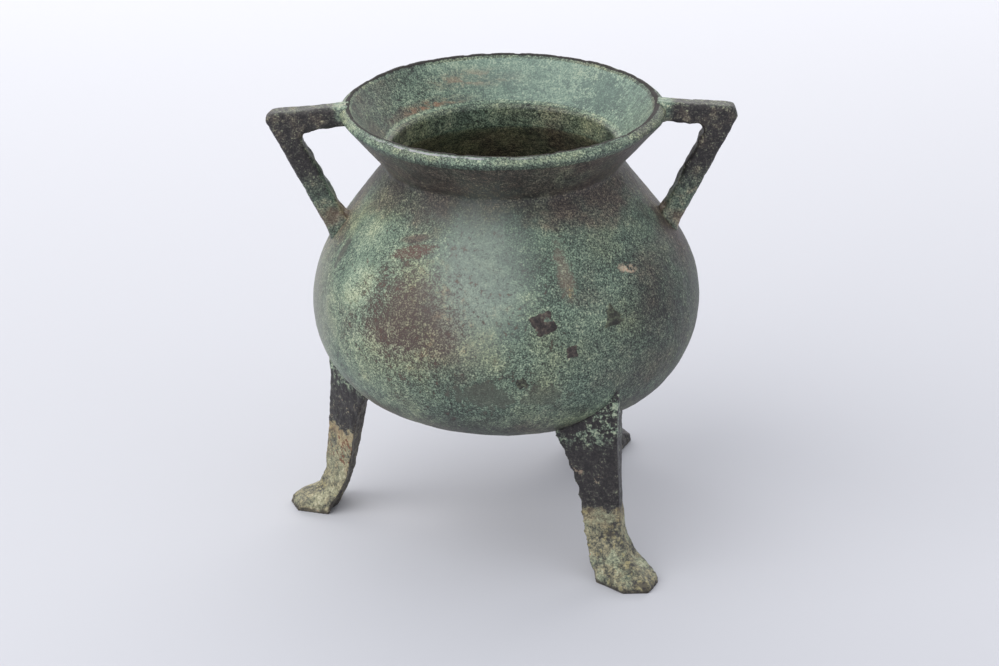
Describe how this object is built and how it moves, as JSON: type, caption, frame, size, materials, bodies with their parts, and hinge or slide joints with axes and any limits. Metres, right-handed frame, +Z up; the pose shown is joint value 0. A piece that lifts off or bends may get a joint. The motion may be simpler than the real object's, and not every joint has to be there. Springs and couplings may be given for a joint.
{
  "type": "tripod cauldron",
  "caption": "Round-bellied cast copper-alloy cooking pot on three ridged legs with feet, with a funnel rim and two angular ears.",
  "frame": {"origin": "on the ground, under the axis of the round belly", "axes": "+Z up along the pot's axis, X through the two ears with one leg under the -X ear, +Y towards the back leg"},
  "size_m": [0.2415, 0.2041, 0.2317],
  "materials": {
    "pot_bronze": "grey-green corroded patina, matt, speckled dark brown",
    "ear_bronze": "near-black corroded patina with grey-green specks, matt",
    "leg_bronze": "black above and pale yellow-green crust below, matt, rust-coloured spots",
    "chaplet_bronze": "dark brown corroded sheet scrap, matt"
  },
  "bodies": {
    "root": {"vessel_body": "pot_bronze", "handle_left": "ear_bronze", "handle_right": "ear_bronze", "leg_left": "leg_bronze", "leg_front": "leg_bronze", "leg_back": "leg_bronze", "chaplet_front_large": "chaplet_bronze", "chaplet_front_triangle": "chaplet_bronze", "chaplet_front_small": "chaplet_bronze", "chaplet_front_low": "chaplet_bronze", "chaplet_right_upper": "chaplet_bronze", "chaplet_back_upper": "chaplet_bronze", "chaplet_left_upper": "chaplet_bronze", "chaplet_back_lower": "chaplet_bronze", "chaplet_left_lower": "chaplet_bronze", "chaplet_base_front": "chaplet_bronze", "chaplet_base_right": "chaplet_bronze", "chaplet_base_back": "chaplet_bronze"}
  },
  "joints": []
}
